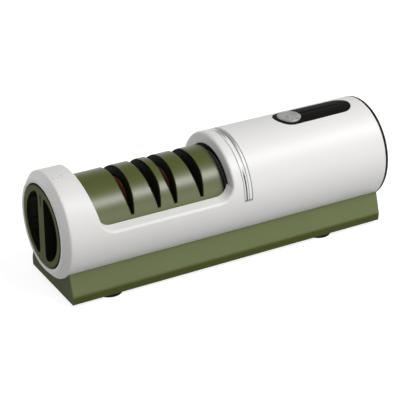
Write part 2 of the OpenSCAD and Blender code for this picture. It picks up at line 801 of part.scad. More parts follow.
// Motor and its mount
module motor_mount() color("dimgray") in_barrel() difference() {
    union() {
        rod(bay_x, bay_x + mount_t, mount_flange_r);
        rod(bay_x, motor_x + mount_cup_l, motor_r + seat_gap + mount_wall);
    }
    rod(bay_x - over, motor_x - mount_t, motor_r - mount_wall);
    rod(bay_x, motor_x + over, boss_out_r + seat_gap);
    rod(motor_x, motor_x + mount_cup_l + over, motor_r + seat_gap);
    for (i = [0:2]) clock(60 + 120 * i) translate([bay_x - over, 0, mount_screw_r])
        rotate([0, 90, 0]) cylinder(h = mount_t + 2 * over, r = small_r + thread_gap);
    for (side = [90, 270]) clock(side) translate([motor_x - mount_t - over, 0, motor_screw_r])
        rotate([0, 90, 0]) cylinder(h = mount_t + 2 * over, r = small_r + thread_gap);
}

module mount_screws() color("silver") in_barrel() for (i = [0:2]) clock(60 + 120 * i)
    translate([bay_x + mount_t, 0, mount_screw_r]) rotate([0, 90, 0])
        pan_screw(mount_t + bulkhead_t - face_gap);

module motor_can() color("silver") in_barrel() difference() {
    union() {
        rod(motor_x, motor_end, motor_r);
        rod(motor_x - boss_l, motor_x + over, boss_out_r);
    }
    rod(motor_x + 2 * can_t, motor_end + over, motor_r - can_t);
    rod(motor_x - boss_l - over, motor_end, shaft_r + run_gap);
    for (side = [90, 270]) clock(side) translate([motor_x - over, 0, motor_screw_r])
        rotate([0, 90, 0]) cylinder(h = 3 * can_t + over, r = small_r + thread_gap);
}

module motor_screws() color("silver") in_barrel() for (side = [90, 270]) clock(side)
    translate([motor_x - mount_t, 0, motor_screw_r]) rotate([0, -90, 0])
        pan_screw(mount_t + 2 * can_t);

module motor_end_bell() color("black") in_barrel() {
    difference() {
        union() {
            rod(motor_end, motor_end + bell_l, motor_r - seat_gap);
            rod(motor_end - can_t, motor_end + over, motor_r - can_t - seat_gap);
            rod(motor_end, motor_end + bell_l + bell_boss_l, boss_out_r);
        }
        rod(motor_end - can_t - over, motor_end + bell_l + bell_boss_l - can_t,
            shaft_r + run_gap);
    }
    for (side = [-1, 1])
        block([motor_end + bell_l, side * tab_y - tab_w / 2, -tab_t / 2],
              [motor_end + bell_l + tab_l, side * tab_y + tab_w / 2, tab_t / 2]);
}

module motor_armature() color("chocolate") in_barrel() difference() {
    x0 = motor_x + armature_set;
    union() {
        rod(x0, x0 + armature_l, armature_r);
        rod(x0, x0 + armature_l + commutator_l, commutator_r);
    }
    rod(x0 - over, motor_end, shaft_r + seat_gap);
    for (i = [0:armature_slots - 1]) clock(360 * i / armature_slots)
        block([x0 - over, -armature_slot_w / 2, armature_r - armature_slot_depth],
              [x0 + armature_l + over, armature_slot_w / 2, armature_r + over]);
}

socket_x = bulkhead_x + socket_set;

module motor_shaft() color("silver") in_barrel()
    rod(socket_x + socket_depth + face_gap, motor_end + bell_l, shaft_r);

module drive_socket() color("#242321") in_barrel() difference() {
    rod(socket_x, socket_x + socket_l, socket_r);
    translate([socket_x - over, 0, 0]) rotate([0, 90, 0])
        cylinder(h = socket_depth + over, r = dog_r + dog_gap, $fn = 6);
    rod(socket_x + socket_depth, socket_x + socket_l + over, shaft_r + seat_gap);
}

// Drum: a round body with a rounded shoulder at the motor end
module drum_body() {
    l = drum_end - drum_x;
    translate([drum_x, 0, 0]) rotate([0, 90, 0]) rotate_extrude() {
        square([drum_r, l - shoulder_r]);
        square([drum_r - shoulder_r, l]);
        intersection() {
            translate([drum_r - shoulder_r, l - shoulder_r]) circle(r = shoulder_r);
            square([drum_r, l]);
        }
    }
}

// Outline of one slot in x and z; side is 1 where the wheel lies beyond it
function slot_points(x, side, inset) = let (
    top = drum_r + over, half = slot_tip_w / 2 - inset)
    [for (p = [[-half, slot_tip_z], [half, slot_tip_z],
               [half + (top - slot_tip_z) * tan(slot_lean), top],
               [-half - slot_run, top], [-half - slot_run, slot_bend_z]])
        [x + side * p.x, p.y]];

module slot_cuts(inset) for (i = [0:3]) rotate([90, 0, 0])
    linear_extrude(height = 2 * barrel_r, center = true)
        polygon(slot_points(slots[i], i % 2 == 0 ? 1 : -1, inset));

// The half above the seam, or below it
module above() intersection() {
    children();
    block([0, -barrel_r, seam_gap / 2], [barrel_l, barrel_r, barrel_r]);
}

module below() intersection() {
    children();
    block([0, -barrel_r, -barrel_r], [barrel_l, barrel_r, -seam_gap / 2]);
}

// What both halves of the drum leave free along the axis
module drum_line() {
    rod(drum_x - over, drum_x + end_wall_t + over, screw_shoulder_r + run_gap);
    rod(near_bush_x - over, near_bush_x + bush_wall_t + over, bush_r + seat_gap);
    rod(far_bush_x - over, far_bush_x + bush_wall_t, bush_r + seat_gap);
    rod(far_bush_x, drum_end + over, spindle_r + slide_gap);
    rod(drum_x + end_wall_t, near_bush_x, drum_in_r);
}

module drum_upper() color("darkolivegreen") in_barrel() difference() {
    above() union() {
        difference() {
            drum_body();
            drum_line();
            rod(near_bush_x + bush_wall_t, far_bush_x, drum_in_r);
        }
        for (side = [-1, 1]) intersection() {
            drum_body();
            translate([drum_screw_x[0], side * drum_screw_y, 0])
                cylinder(h = drum_r, r = boss_r);
        }
    }
    slot_cuts(0);
    for (x = drum_screw_x, side = [-1, 1]) translate([x, side * drum_screw_y, -over])
        cylinder(h = drum_screw_reach + over, r = small_r + thread_gap);
}

module drum_lower() color("darkolivegreen") in_barrel() difference() {
    below() union() {
        difference() {
            drum_body();
            drum_line();
            rod(near_bush_x + bush_wall_t, mid_x - mid_wall_t / 2, drum_in_r);
            rod(mid_x + mid_wall_t / 2, far_bush_x, drum_in_r);
            rod(mid_x - mid_wall_t, mid_x + mid_wall_t, bush_r + seat_gap);
        }
        for (side = [-1, 1]) intersection() {
            drum_body();
            translate([drum_screw_x[0], side * drum_screw_y, -drum_r])
                cylinder(h = drum_r, r = boss_r);
        }
    }
    tracks(drum_x - over, drum_end + over);
    for (x = drum_screw_x, side = [-1, 1])
        translate([x, side * drum_screw_y, -drum_screw_head_z]) rotate([180, 0, 0])
            pan_hole(drum_screw_head_z, drum_r - drum_screw_head_z);
}

module drum_screws() color("silver") in_barrel() for (x = drum_screw_x, side = [-1, 1])
    translate([x, side * drum_screw_y, -drum_screw_head_z]) rotate([180, 0, 0])
        pan_screw(drum_screw_head_z + drum_screw_reach - over);

// The black core of the drum's upper half: it lines the slots and roofs the wheels
module slot_guides() color("#1c1d1a") in_barrel() difference() {
    above() union() {
        rod(guide_x0, guide_x1, drum_in_r - seat_gap);
        intersection() {
            rod(guide_x0, guide_x1, drum_r - lining_set);
            slot_cuts(lining_set);
        }
    }
    slot_cuts(lining_t);
    for (i = [0, 2]) rod(slots[i], slots[i + 1], wheel_r + wheel_gap);
    rod(guide_x0 - over, mid_x - mid_wall_t / 2, tunnel_r);
    rod(mid_x + mid_wall_t / 2, guide_x1 + over, tunnel_r);
    rod(mid_x - mid_wall_t, mid_x + mid_wall_t, bush_r + seat_gap);
}

module bush(x0, x1) tube(x0, x1, bush_r, spindle_r + run_gap);

module spindle_bushes() color("goldenrod") in_barrel() {
    bush(near_bush_x + bush_set, near_bush_x + bush_wall_t);
    bush(mid_x - mid_wall_t / 2 + bush_set, mid_x + mid_wall_t / 2 - bush_set);
    bush(far_bush_x, far_bush_x + bush_wall_t - bush_set);
}

// Spindle with its hexagon dog, the clip at its tail, hubs and spacers
module spindle() color("silver") in_barrel() {
    difference() {
        rod(near_bush_x - spindle_tail - clip_t, drum_end + dog_start, spindle_r);
        tube(near_bush_x - face_gap - clip_t, near_bush_x - face_gap / 2, spindle_r + over,
             spindle_r - clip_groove);
    }
    translate([drum_end + dog_start, 0, 0]) rotate([0, 90, 0])
        cylinder(h = dog_l, r = dog_r, $fn = 6);
}

module spindle_clips() color("dimgray") in_barrel() difference() {
    tube(near_bush_x - face_gap - clip_t, near_bush_x - face_gap, spindle_r + clip_w,
         spindle_r - clip_groove + seat_gap);
    block([near_bush_x - 2 * spindle_r, -spindle_r / 2, -2 * spindle_r],
          [near_bush_x, spindle_r / 2, 0]);
}

module wheel(x) difference() {
    translate([x, 0, 0]) turned([[0, -core_half], [wheel_core_r, -core_half],
        [wheel_r, -rim_half], [wheel_r, rim_half], [wheel_core_r, core_half], [0, core_half]]);
    rod(x - slot_pair, x + slot_pair, hub_r + seat_gap);
}

module coarse_wheel() color("#3a1a0c") in_barrel() wheel(wheel_x[0]);

module fine_wheel() color("#3a1a0c") in_barrel() wheel(wheel_x[1]);

module wheel_hubs() color("silver") in_barrel() for (x = wheel_x)
    tube(x - hub_half, x + hub_half, hub_r, spindle_r + seat_gap);

module spacer(x0, x1) tube(x0, x1, spacer_r, spindle_r + seat_gap);

module spindle_spacers() color("silver") in_barrel() {
    spacer(near_bush_x + bush_wall_t + face_gap, wheel_x[0] - hub_half);
    spacer(wheel_x[0] + hub_half, mid_x - mid_wall_t / 2 + face_gap);
    spacer(mid_x + mid_wall_t / 2 - face_gap, wheel_x[1] - hub_half);
    spacer(wheel_x[1] + hub_half, far_bush_x - face_gap);
}

// One finger recess: a round-cornered D beside the grip bar
module recess_plan() {
    c = grip_w / 2 + recess_corner_r;
    h = sqrt(pow(recess_r - recess_corner_r, 2) - c * c);
    for (side = [-1, 1]) translate([c, side * h]) circle(r = recess_corner_r);
    translate([grip_w / 2, -h]) square([recess_corner_r, 2 * h]);
    intersection() {
        circle(r = recess_r);
        polygon([[c, -h], [2 * c, -2 * h], [2 * recess_r, -2 * recess_r],
                 [2 * recess_r, 2 * recess_r], [2 * c, 2 * h], [c, h]]);
    }
}

module knob() color("darkolivegreen") in_barrel() difference() {
    turned([[0, 0], [drum_r - knob_edge, 0], [drum_r, knob_edge], [drum_r, knob_l],
            [drum_r - skirt_t, knob_l], [drum_r - skirt_t, knob_floor_x],
            [knob_hub_r, knob_floor_x], [knob_hub_r, knob_l], [0, knob_l]]);
    for (side = [0, 1]) mirror([0, side, 0]) along(-over, recess_depth) recess_plan();
    rod(knob_l - screw_bite - side_gap, knob_l + over, screw_thread_r + thread_gap);
    tracks(lug_x - slide_gap, knob_l + over);
    for (side = [-1, 1]) intersection() {
        tube(lug_x - slide_gap - face_gap, lug_x + lug_l + slide_gap, drum_r + over, track_r);
        along(0, knob_l) pie(side * lug_clock - lock_turn - lug_angle,
                             side * lug_clock - lug_angle / 2, barrel_r);
    }
    along(-over, arrow_depth) polygon([[-arrow_w / 2, arrow_z], [arrow_w / 2, arrow_z],
                                       [0, arrow_z + arrow_h]]);
}

module wave_washer() color("silver") in_barrel()
    tube(knob_l + seat_gap, knob_l + seat_gap + washer_t, washer_out_r, washer_in_r);

// The shoulder screw that the knob turns on, from inside the drum's end wall
module knob_screw() color("silver") in_barrel() {
    head_x = drum_x + end_wall_t + screw_set;
    rod(knob_l - screw_bite, knob_l, screw_thread_r);
    rod(knob_l, head_x + screw_head_h / 2, screw_shoulder_r);
    difference() {
        rod(head_x, head_x + screw_head_h, screw_head_r);
        translate([head_x + screw_head_h - drive_depth, 0, 0]) rotate([0, 90, 0])
            cylinder(h = drive_depth + over, r = 2 * drive_r, $fn = 6);
    }
}

barrel_shell();
end_cap();
end_cap_screws();
mouth_seal();
light_ring();
ring_led();
plinth();
bottom_plate();
plinth_screws();
feet();
control_panel();
control_board();
board_screws();
tact_switch();
power_button();
charge_socket();
charge_board();
battery_cells();
battery_cradle();
motor_mount();
mount_screws();
motor_can();
motor_end_bell();
motor_screws();
motor_armature();
motor_shaft();
drive_socket();
drum_upper();
drum_lower();
slot_guides();
drum_screws();
spindle_bushes();
wave_washer();
knob();
knob_screw();
spindle();
coarse_wheel();
fine_wheel();
wheel_hubs();
spindle_spacers();
spindle_clips();
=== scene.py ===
import json
import math
import bpy
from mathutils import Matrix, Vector

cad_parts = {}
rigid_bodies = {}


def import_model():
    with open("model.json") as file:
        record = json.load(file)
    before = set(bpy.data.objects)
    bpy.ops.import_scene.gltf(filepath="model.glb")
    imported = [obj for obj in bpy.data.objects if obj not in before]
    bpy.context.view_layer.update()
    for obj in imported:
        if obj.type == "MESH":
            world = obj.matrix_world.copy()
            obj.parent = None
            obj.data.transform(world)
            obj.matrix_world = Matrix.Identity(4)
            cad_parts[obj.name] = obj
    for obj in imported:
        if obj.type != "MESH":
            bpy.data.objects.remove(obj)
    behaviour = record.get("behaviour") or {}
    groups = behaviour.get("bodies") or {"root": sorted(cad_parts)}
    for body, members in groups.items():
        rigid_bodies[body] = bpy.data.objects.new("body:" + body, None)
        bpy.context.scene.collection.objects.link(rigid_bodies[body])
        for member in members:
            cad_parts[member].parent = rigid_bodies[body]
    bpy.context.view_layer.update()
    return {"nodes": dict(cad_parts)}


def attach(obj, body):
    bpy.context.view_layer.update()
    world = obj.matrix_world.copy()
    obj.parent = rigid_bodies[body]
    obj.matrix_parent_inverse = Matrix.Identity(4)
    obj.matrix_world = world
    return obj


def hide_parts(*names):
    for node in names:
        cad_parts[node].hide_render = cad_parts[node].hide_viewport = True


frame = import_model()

# Electric knife sharpener: a white barrel on an olive plinth, with a slotted olive
# drum that slides out at the knob end. Blender's own lengths are in metres.
NODES = frame["nodes"]
MM = 0.001

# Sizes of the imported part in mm. Each x counts from the knob end, and radii and heights
# from the barrel's axis. HALF is half the length, and AXIS the axis above the floor.
HALF, AXIS = 102.6, 39.35
BARREL_R, BORE_R, BAY_R, SHAFT_HOLE_R = 30.0, 23.8, 27.0, 7.5
RIM_R, RIM_CONE = 26.0, 3.7
BULKHEAD, BAY_X, SHELL_L = 104.5, 107.5, 203.2
# The window: its ends, the lean of its near side, its corners, and the sill outside and inside
WINDOW_X, WINDOW_END, WINDOW_LEAN = 17.5, 102.4, math.radians(12.0)
CORNER_NEAR, CORNER_FAR = 8.0, 9.0
SILL_OUT, SILL_IN = 2.85, 4.15
SILL_Y = math.sqrt(BORE_R ** 2 - SILL_IN ** 2)
SILL_TILT = math.atan((SILL_IN - SILL_OUT) / (math.sqrt(BARREL_R ** 2 - SILL_OUT ** 2) - SILL_Y))
# The tick and the ring-shaped mark on the rim
MARK_CLOCK, MARK_DEPTH = 9.8, 0.3
TICK_X, TICK_W = (5.3, 5.75), 4.1
DOT_X, DOT_R, DOT_IN = 9.2, 1.6, 1.15
# Pilot holes of the motor mount's screws, and the lugs that lock the knob
PILOT_CLOCKS, PILOT_OUT, PILOT_R = (60, 180, 300), 19, 1.35
LUG_CLOCKS, LUG_X, LUG_TALL, LUG_W = (120, 240), (6, 9.5), 1.9, 4
RING_X, RING_W, RING_T = 108.5, 5.0, 1.7
# The panel's two round ends as x and radius, its thickness, its seat and the gap round it
PANEL_ENDS = ((154.5, 8.9), (187.2, 8.4))
PANEL_T, PANEL_SEAT, PANEL_GAP = 1.6, 26.9, 0.2
BUTTON_X, BUTTON_R, BUTTON_TOP = 155.2, 6.85, 30.2
BUTTON_FLANGE_R, BUTTON_FLANGE = 8.0, (24.4, 25.4)
# The drum's wall, then its three end walls and the holes and bush pockets in them
DRUM_X, DRUM_END, DRUM_R, DRUM_IN = 16.4, 101.5, 23.4, 20.4
NEAR_WALL_END, MID_WALL, FAR_WALL = 19.4, (27.95, 32.95), (96, 101.0)
SCREW_HOLE_R, BUSH_R, SPINDLE_HOLE_R = 2.55, 5.05, 3.35
BOSS_X, BOSS_Y, BOSS_Z, BOSS_R = 23.675, 14, (0.05, 14.8), 3.4
# The slots: their places, then height of the tips, half width there and lean of the far wall,
# and run of the near wall up to its bend
SLOTS = (43.25, 59.4, 69.55, 85.7)
SLOT_TIP_Z, SLOT_HALF, SLOT_LEAN, SLOT_RUN, SLOT_BEND = 6.1, 0.85, 9.5, 2.2, 18.0
LINING_TOP = 21.3
# The narrow step round the knob, the recesses' reach, and the arrow's tail as width, start, end
STEP_R, STEP_DEPTH, RECESS_R = 22.75, 0.7, 20.5
ARROW_TAIL = ((0.9, 11.5, 16.2), (1.5, 14.6, 16.2))
CAP_EDGE, CAP_EDGE_X = 1.3, SHELL_L + 0.7
# Where the plinth's near face starts, from the middle, and its foot rail's edge above the floor
PLINTH_FACE, RAIL_TOP, RAIL_LOW = -97.5, AXIS - 31.2, AXIS - 34.0


# Colours, nodes and materials

def hue(code):
    """The linear colour of an sRGB hex code."""
    parts = [int(code[i:i + 2], 16) / 255 for i in (0, 2, 4)]
    return [p / 12.92 if p <= 0.04045 else ((p + 0.055) / 1.055) ** 2.4 for p in parts] + [1]


def add_node(tree, kind, links=(), **settings):
    """A node with its attributes or input values set, and its inputs linked from other sockets."""
    made = tree.nodes.new("ShaderNode" + kind)
    for name, value in settings.items():
        if hasattr(made, name):
            setattr(made, name, value)
        else:
            made.inputs[name.replace("_", " ")].default_value = value
    for socket, source in links:
        tree.links.new(source, made.inputs[socket])
    return made


def start_material(name, **shader):
    """A material with a Principled shader, and the object's own coordinates."""
    material = bpy.data.materials.new(name)
    material.use_nodes = True
    tree = material.node_tree
    surface = tree.nodes["Principled BSDF"]
    for socket, value in shader.items():
        surface.inputs[socket.replace("_", " ")].default_value = value
    place = add_node(tree, "TexCoord").outputs["Object"]
    return material, tree, surface, place


def lay_on(tree, surface, level, colours, roughness, height, strength, depth_mm):
    """Takes the colour and the gloss from a texture's level, and the relief from a height."""
    tint = add_node(tree, "Mix", [("Factor", level)], data_type="RGBA",
                    A=hue(colours[0]), B=hue(colours[1]))
    gloss = add_node(tree, "MapRange", [("Value", level)],
                     To_Min=roughness[0], To_Max=roughness[1])
    relief = add_node(tree, "Bump", [("Height", height)],
                      Strength=strength, Distance=depth_mm * MM)
    tree.links.new(tint.outputs["Result"], surface.inputs["Base Color"])
    tree.links.new(gloss.outputs["Result"], surface.inputs["Roughness"])
    tree.links.new(relief.outputs["Normal"], surface.inputs["Normal"])


def moulded(name, colour, shade, roughness, spread, grain_mm, depth_mm, drift_mm=30, **shader):
    """Moulded plastic: a fine spark-eroded grain, slow drifts of colour and of gloss."""
    material, tree, surface, place = start_material(name, **shader)
    drift = add_node(tree, "TexNoise", [("Vector", place)], Scale=1 / (drift_mm * MM), Detail=2.0)
    grain = add_node(tree, "TexNoise", [("Vector", place)], Scale=1 / (grain_mm * MM), Detail=1.0)
    lay_on(tree, surface, drift.outputs["Fac"], (colour, shade),
           (roughness - spread, roughness + spread), grain.outputs["Fac"], 0.5, depth_mm)
    return material


def patterned(name, kind, output, pattern, colour, shade, roughness, depth_mm, **shader):
    """A finish whose colour, gloss and relief all follow one texture, from its low parts up."""
    material, tree, surface, place = start_material(name, **shader)
    level = add_node(tree, kind, [("Vector", place)], **pattern).outputs[output]
    lay_on(tree, surface, level, (shade, colour), roughness, level, 0.6, depth_mm)
    return material


# Moulded ABS, warm white: satin, so light lies along the barrel in one broad soft band
SHELL = moulded("shell_moulded_abs", "ECEBE9", "E9E8E6", 0.44, 0.03, 0.5, 0.01, IOR=1.53)
# Moulded ABS, olive: glossier than the shell, with a greyish sheen where the key light meets it
OLIVE = moulded("drum_moulded_abs", "585F2D", "535A2A", 0.34, 0.03, 0.5, 0.01,
                IOR=1.53, Specular_IOR_Level=0.65)
# Moulded ABS, olive, finely textured for the fingers: flat and without a sheen
KNOB = moulded("knob_moulded_abs", "525A34", "4D5531", 0.55, 0.03, 0.5, 0.02,
               IOR=1.53, Specular_IOR_Level=0.06)
# Moulded ABS, paler olive: matt, so the long side keeps one even tone
PLINTH = moulded("plinth_moulded_abs", "757D58", "717953", 0.55, 0.04, 0.6, 0.02,
                 IOR=1.53, Specular_IOR_Level=0.03)
# Moulded nylon, black: a dull edge line round the far end
BLACK = moulded("cap_moulded_nylon", "12130D", "0E0F0A", 0.38, 0.04, 0.5, 0.01,
                IOR=1.53, Specular_IOR_Level=0.1)
# Moulded nylon, greenish black: takes in the light, so slots read as deep. It is the slot linings'
# and the seal's own colour, and on the knob the painted shade in the recesses and on the step
LINING_AND_SHADE = moulded("lining_nylon_and_painted_shade", "23251A", "1C1E14", 0.6, 0.04, 0.5, 0.01,
                 IOR=1.53, Specular_IOR_Level=0.05)
# Moulded polycarbonate, black: smooth and even, a shade lighter than its own edge
PANEL = moulded("panel_moulded_polycarbonate", "1A1918", "161514", 0.5, 0.03, 0.5, 0.004,
                IOR=1.58, Specular_IOR_Level=0.04)
# Moulded rubber: the dullest black, with a coarse stipple
RUBBER = moulded("feet_moulded_rubber", "1C1C1A", "111110", 0.75, 0.08, 0.35, 0.04,
                 drift_mm=4, IOR=1.52, Specular_IOR_Level=0.1)
# Silver lacquer: metal flakes in clear varnish, mottled light and dark grey from any side
BUTTON = moulded("button_silver_lacquer", "FAFAF8", "A2A2A0", 0.4, 0.1, 0.3, 0.006,
                 drift_mm=1.6, Metallic=0.7)
# Shrink sleeve: glossy blue film with slow wrinkles over the cells
SLEEVE = moulded("cells_shrink_sleeve", "2F5F94", "22466E", 0.28, 0.08, 3.0, 0.08, drift_mm=9)
# Cast resin: a pale, wet-looking lamp body
LAMP = moulded("lamp_cast_resin", "F2EFD8", "E2DBB4", 0.15, 0.05, 2.0, 0.005, drift_mm=5)
# Turned steel: fine rings left by the tool, bright on their crests
STEEL = patterned("fittings_turned_steel", "TexWave", "Fac",
                  dict(Scale=0.314 / (0.3 * MM), Distortion=1.2, Detail=2.0),
                  "B4B3B0", "8E8D8A", (0.24, 0.38), 0.004, Metallic=1.0)
# Wound copper: rows of lacquered wire, dark in between
COPPER = patterned("armature_wound_copper", "TexWave", "Fac",
                   dict(Scale=0.314 / (0.5 * MM), Distortion=0.6, Detail=1.0),
                   "A85C32", "4E2814", (0.5, 0.25), 0.12, Metallic=1.0)
# Sintered bronze: grains with oily pores between them
BRONZE = patterned("bushes_sintered_bronze", "TexVoronoi", "Distance",
                   dict(Scale=1 / (0.3 * MM)), "6E5330", "9C7A48", (0.35, 0.6), 0.02, Metallic=1.0)
# Bonded abrasive: reddish-brown binder with paler grit standing out of it
WHEEL = patterned("wheels_bonded_abrasive", "TexVoronoi", "Distance",
                  dict(Scale=1 / (0.4 * MM)), "6A3420", "B4694C", (0.7, 0.95), 0.1)
# Glass laminate under green solder mask: tracks show as paler lines
BOARD = patterned("boards_glass_laminate", "TexBrick", "Fac",
                  dict(Scale=1 / (7 * MM), Mortar_Size=0.04, Mortar_Smooth=0.3),
                  "2F7A4E", "1A5032", (0.4, 0.3), 0.03)

# The light ring's painted dark streaks: inside the band they are painted reflections, and the two
# at its edges are painted shade lines where it sits in its groove. Each gives its centre across the
# ring, half width where it starts and where it ends, those two places in degrees from the top, and
# depth of tone. The last is its dark foot.
PAINTED_STREAKS = (
    (0.0, 0.07, 0.07, 0, 90, 0.55), (1.0, 0.07, 0.07, 0, 90, 0.55),
    (0.78, 0.26, -0.05, 8, 38, 0.6), (0.3, 0.3, -0.05, 0, 18, 0.55),
    (0.6, 0.1, 0.05, 8, 66, 0.9), (0.3, -0.1, 0.1, 44, 62, 1.0),
    (0.5, -0.9, 0.5, 86.2, 87.6, 0.6))


def ring_material():
    """Pale acrylic with painted dark reflections as streaks that narrow downwards, and painted
    shade lines at its edges.
    """
    material, tree, surface, place = start_material("ring_cast_acrylic", Roughness=0.25, IOR=1.49)
    part = add_node(tree, "SeparateXYZ", [("Vector", place)])
    back = add_node(tree, "Math", [(0, part.outputs["Y"])], operation="ABSOLUTE")
    up = add_node(tree, "Math", [(0, part.outputs["Z"])], operation="SUBTRACT")
    up.inputs[1].default_value = AXIS * MM
    turn = add_node(tree, "Math", [(0, back.outputs[0]), (1, up.outputs[0])], operation="ARCTAN2")
    across = add_node(tree, "MapRange", [("Value", part.outputs["X"])],
                      From_Min=(RING_X - HALF) * MM, From_Max=(RING_X + RING_W - HALF) * MM)
    soft_edge = (-0.03, 0.04)
    painted_dark = None
    for centre, wide, narrow, start, end, depth in PAINTED_STREAKS:
        width = add_node(tree, "MapRange", [("Value", turn.outputs[0])],
                         From_Min=math.radians(start), From_Max=math.radians(end),
                         To_Min=wide, To_Max=narrow)
        off = add_node(tree, "Math", [(0, across.outputs[0])], operation="SUBTRACT")
        off.inputs[1].default_value = centre
        away = add_node(tree, "Math", [(0, off.outputs[0])], operation="ABSOLUTE")
        edge = add_node(tree, "Math", [(0, width.outputs[0]), (1, away.outputs[0])],
                        operation="SUBTRACT")
        mask = add_node(tree, "MapRange", [("Value", edge.outputs[0])],
                        From_Min=soft_edge[0], From_Max=soft_edge[1], To_Max=depth)
        if painted_dark:
            painted_dark = add_node(tree, "Math", [(0, painted_dark.outputs[0]), (1, mask.outputs[0])],
                            operation="MAXIMUM")
        else:
            painted_dark = mask
    tint = add_node(tree, "Mix", [("Factor", painted_dark.outputs[0])], data_type="RGBA",
                    A=hue("F0F0EE"), B=hue("3C3C3A"))
    tree.links.new(tint.outputs["Result"], surface.inputs["Base Color"])
    return material


def shaded_along(material, axis, start, end, colour, keep=None):
    """Blends a material into another colour along one axis, between two places in mm.

    The places count from the object's middle, or from the floor along Z. keep is a range
    of X in which the blend fades in, for one that shows on one face only."""
    tree = material.node_tree
    surface = tree.nodes["Principled BSDF"]
    tint = surface.inputs["Base Color"].links[0].from_socket
    place = add_node(tree, "TexCoord").outputs["Object"]
    part = add_node(tree, "SeparateXYZ", [("Vector", place)])
    share = add_node(tree, "MapRange", [("Value", part.outputs[axis])],
                     interpolation_type="SMOOTHSTEP", From_Min=start * MM, From_Max=end * MM)
    factor = share.outputs["Result"]
    if keep:
        inside = add_node(tree, "MapRange", [("Value", part.outputs["X"])],
                          From_Min=keep[0] * MM, From_Max=keep[1] * MM)
        factor = add_node(tree, "Math", [(0, factor), (1, inside.outputs["Result"])],
                          operation="MULTIPLY").outputs[0]
    both = add_node(tree, "Mix", [("Factor", factor), ("A", tint)], data_type="RGBA",
                    B=hue(colour))
    tree.links.new(both.outputs["Result"], surface.inputs["Base Color"])


# Cast acrylic: a light band with painted dark reflections running down in it, and painted shade
# lines along its edges
RING = ring_material()
# Painted shade: the plinth's end face is darker, and so is the lower band of its foot rail on the
# long sides, where little light reaches. The drum's far shoulder is darkened to near black as
# painted shade, where it turns into the wall's shadow
shaded_along(PLINTH, "X", PLINTH_FACE + 0.2, PLINTH_FACE - 0.2, "5A6144")
shaded_along(PLINTH, "Z", RAIL_TOP, RAIL_LOW, "50552F",
             keep=(PLINTH_FACE - 0.4, PLINTH_FACE - 0.1))
# Painted shade: the drum's far shoulder darkens to near black where it turns away into the wall's
# shade
shaded_along(OLIVE, "X", DRUM_END - 4.3 - HALF, DRUM_END - 1.3 - HALF, "12140A")

FINISH = {
    "barrel_shell": SHELL, "end_cap": BLACK, "end_cap_screws": STEEL, "mouth_seal": LINING_AND_SHADE,
    "light_ring": RING, "ring_led": LAMP, "plinth": PLINTH, "bottom_plate": BLACK,
    "plinth_screws": STEEL, "feet": RUBBER, "control_panel": PANEL, "control_board": BOARD,
    "board_screws": STEEL, "tact_switch": BLACK, "power_button": BUTTON,
    "charge_socket": STEEL, "charge_board": BOARD, "battery_cells": SLEEVE,
    "battery_cradle": BLACK, "motor_mount": BLACK, "mount_screws": STEEL, "motor_can": STEEL,
    "motor_end_bell": BLACK, "motor_screws": STEEL, "motor_armature": COPPER,
    "motor_shaft": STEEL, "drive_socket": BLACK, "drum_upper": OLIVE, "drum_lower": OLIVE,
    "slot_guides": LINING_AND_SHADE, "drum_screws": STEEL, "spindle_bushes": BRONZE,
    "wave_washer": STEEL, "knob": KNOB, "knob_screw": STEEL, "spindle": STEEL,
    "coarse_wheel": WHEEL, "fine_wheel": WHEEL, "wheel_hubs": STEEL,
    "spindle_spacers": STEEL, "spindle_clips": STEEL,
}
for name, material in FINISH.items():
    for each in NODES[name].material_slots:
        each.material = material


# Points and angles

def steps_between(a, b, count, last=False):
    """Values from a to b in even steps, the last one only if asked for."""
    return [a + (b - a) * i / count for i in range(count + last)]


def arc(centre, radius, start, end, count, last=False):
    """Points along an arc between two angles."""
    return [(centre[0] + radius * math.cos(a), centre[1] + radius * math.sin(a))
            for a in steps_between(start, end, count, last)]


def at_clock(x, radius, clock):
    """A point at a radius and at a clock angle, in degrees forward from the top."""
    a = math.radians(clock)
    return (x, -radius * math.sin(a), radius * math.cos(a))


# Modelling by hand: primitives shaped in edit mode, then modifiers applied

def alone(piece):
    """Selects one object and nothing else."""
    bpy.ops.object.select_all(action="DESELECT")
    piece.select_set(True)
    bpy.context.view_layer.objects.active = piece


def open_up(piece, action="SELECT"):
    """Opens a piece in edit mode, with all of its mesh selected or none."""
    alone(piece)
    bpy.ops.object.mode_set(mode="EDIT")
    bpy.ops.mesh.select_all(action=action)


def close_up(piece, merge=0.002):
    """Merges doubles and turns all faces outwards."""
    open_up(piece)
    bpy.ops.mesh.remove_doubles(threshold=merge * MM)
    bpy.ops.mesh.normals_make_consistent(inside=False)
    bpy.ops.object.mode_set(mode="OBJECT")


def wire(name, points):
    """A filled outline through points in mm, drawn out vertex by vertex from a primitive."""
    bpy.ops.object.select_all(action="DESELECT")
    bpy.ops.mesh.primitive_plane_add(size=MM, location=(0, 0, 0))
    piece = bpy.context.object
    piece.name = piece.data.name = name
    open_up(piece)
    bpy.ops.mesh.merge(type="CENTER")
    bpy.ops.transform.translate(value=Vector(points[0]) * MM)
    for last, point in zip(points, points[1:]):
        bpy.ops.mesh.extrude_region_move(
            TRANSFORM_OT_translate={"value": (Vector(point) - Vector(last)) * MM})
    bpy.ops.object.mode_set(mode="OBJECT")
    piece.data.vertices[0].select = True
    bpy.ops.object.mode_set(mode="EDIT")
    bpy.ops.mesh.edge_face_add()
    bpy.ops.mesh.select_all(action="SELECT")
    bpy.ops.mesh.edge_face_add()
    bpy.ops.object.mode_set(mode="OBJECT")
    return piece


